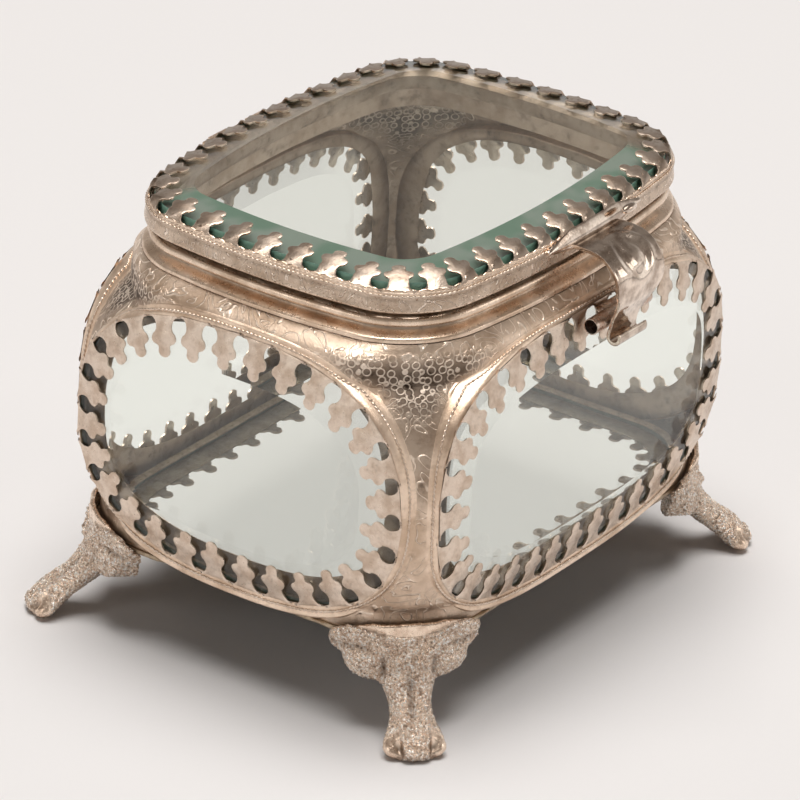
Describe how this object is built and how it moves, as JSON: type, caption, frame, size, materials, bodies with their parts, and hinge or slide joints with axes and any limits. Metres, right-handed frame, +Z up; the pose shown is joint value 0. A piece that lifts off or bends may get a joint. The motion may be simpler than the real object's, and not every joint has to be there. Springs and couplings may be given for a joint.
{
  "type": "glass casket box",
  "caption": "Small footed casket box with bevelled glass walls, floor and hinged lid, pronged metal galleries, cast scroll feet and a sprung front clasp.",
  "frame": {"origin": "on the ground under the middle of the body", "axes": "+X along the front towards the right end, front with the clasp towards -Y, +Z up"},
  "size_m": [0.1064, 0.0878, 0.0793],
  "materials": {
    "pressed_metal": "worn silver plate over brass, satin, warm",
    "gallery_metal": "worn silver plate over brass, bright on the edges",
    "base_metal": "dull silver plate over brass",
    "cast_metal": "rough casting, silver plate over brass",
    "tube_metal": "dull silver plate over brass",
    "clasp_metal": "polished silver plate over brass",
    "glass": "clear bevelled plate glass, faintly green"
  },
  "bodies": {
    "casket": {"body_shell": "pressed_metal", "collar": "pressed_metal", "front_bezel": "gallery_metal", "back_bezel": "gallery_metal", "left_bezel": "gallery_metal", "right_bezel": "gallery_metal", "front_glass": "glass", "back_glass": "glass", "left_glass": "glass", "right_glass": "glass", "base_frame": "base_metal", "base_gallery": "gallery_metal", "base_glass": "glass", "foot_front_left": "cast_metal", "foot_front_right": "cast_metal", "foot_back_left": "cast_metal", "foot_back_right": "cast_metal", "catch_tube": "tube_metal", "hinge_leaf_body": "tube_metal", "hinge_pin": "tube_metal"},
    "lid": {"lid_gallery": "gallery_metal", "lid_rim": "base_metal", "lid_glass": "glass", "hinge_leaf_lid": "tube_metal", "clasp": "clasp_metal"}
  },
  "joints": [
    {"name": "lid_hinge", "type": "hinge", "parent": "casket", "child": "lid", "pos_m": [0, 0.0365, 0.0725], "axis": [-1, 0, 0], "range_deg": [0, 100]}
  ]
}
